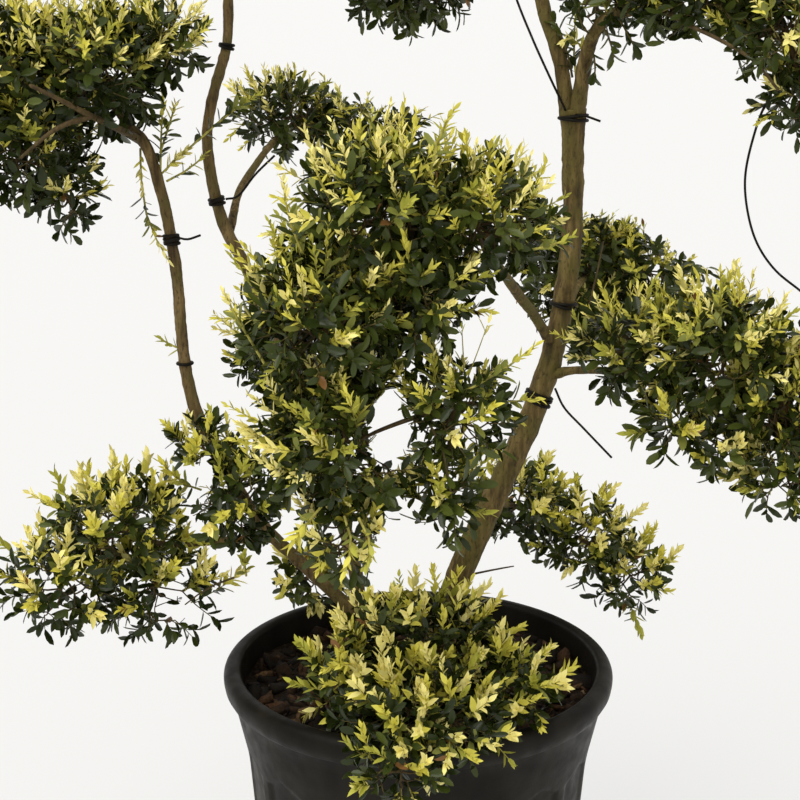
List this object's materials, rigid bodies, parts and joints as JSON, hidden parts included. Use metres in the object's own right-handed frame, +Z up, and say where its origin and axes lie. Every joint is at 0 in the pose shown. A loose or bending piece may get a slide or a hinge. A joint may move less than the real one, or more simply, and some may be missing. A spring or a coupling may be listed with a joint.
{
  "type": "potted japanese holly bonsai",
  "caption": "Cloud-pruned Japanese holly: bare olive-brown stems and boughs that end in clipped clouds of small glossy leaves, growing in a round black plastic nursery pot.",
  "frame": {"origin": "middle of the pot's flat underside", "axes": "+Z up; -Y is the plant's front, with the big middle cloud of leaves; +X is to the right seen from the front"},
  "size_m": [0.9649, 0.7272, 1.3981],
  "materials": {
    "pot_plastic": "matte, slightly worn",
    "bark_compost": "loose chipped bark, damp",
    "bark": "rough bark",
    "foliage": "glossy small leaves"
  },
  "bodies": {
    "root": {"bough_apex": "bark", "bough_back_middle": "bark", "bough_behind_left": "bark", "bough_front_centre": "bark", "bough_left_cluster": "bark", "bough_low_back": "bark", "bough_lower_left": "bark", "bough_lower_right_back": "bark", "bough_pot_front": "bark", "bough_right_back": "bark", "bough_right_mid": "bark", "bough_top_back": "bark", "bough_top_right": "bark", "foliage_apex": "foliage", "foliage_back_middle": "foliage", "foliage_behind_left": "foliage", "foliage_front_centre": "foliage", "foliage_left_cluster": "foliage", "foliage_left_crown": "foliage", "foliage_low_back": "foliage", "foliage_lower_left": "foliage", "foliage_lower_right_back": "foliage", "foliage_pot_front": "foliage", "foliage_right_back": "foliage", "foliage_right_mid": "foliage", "foliage_top_back": "foliage", "foliage_top_left": "foliage", "foliage_top_right": "foliage", "pot": "pot_plastic", "soil": "bark_compost", "stem_left": "bark", "stem_middle": "bark", "trunk": "bark"}
  },
  "joints": []
}
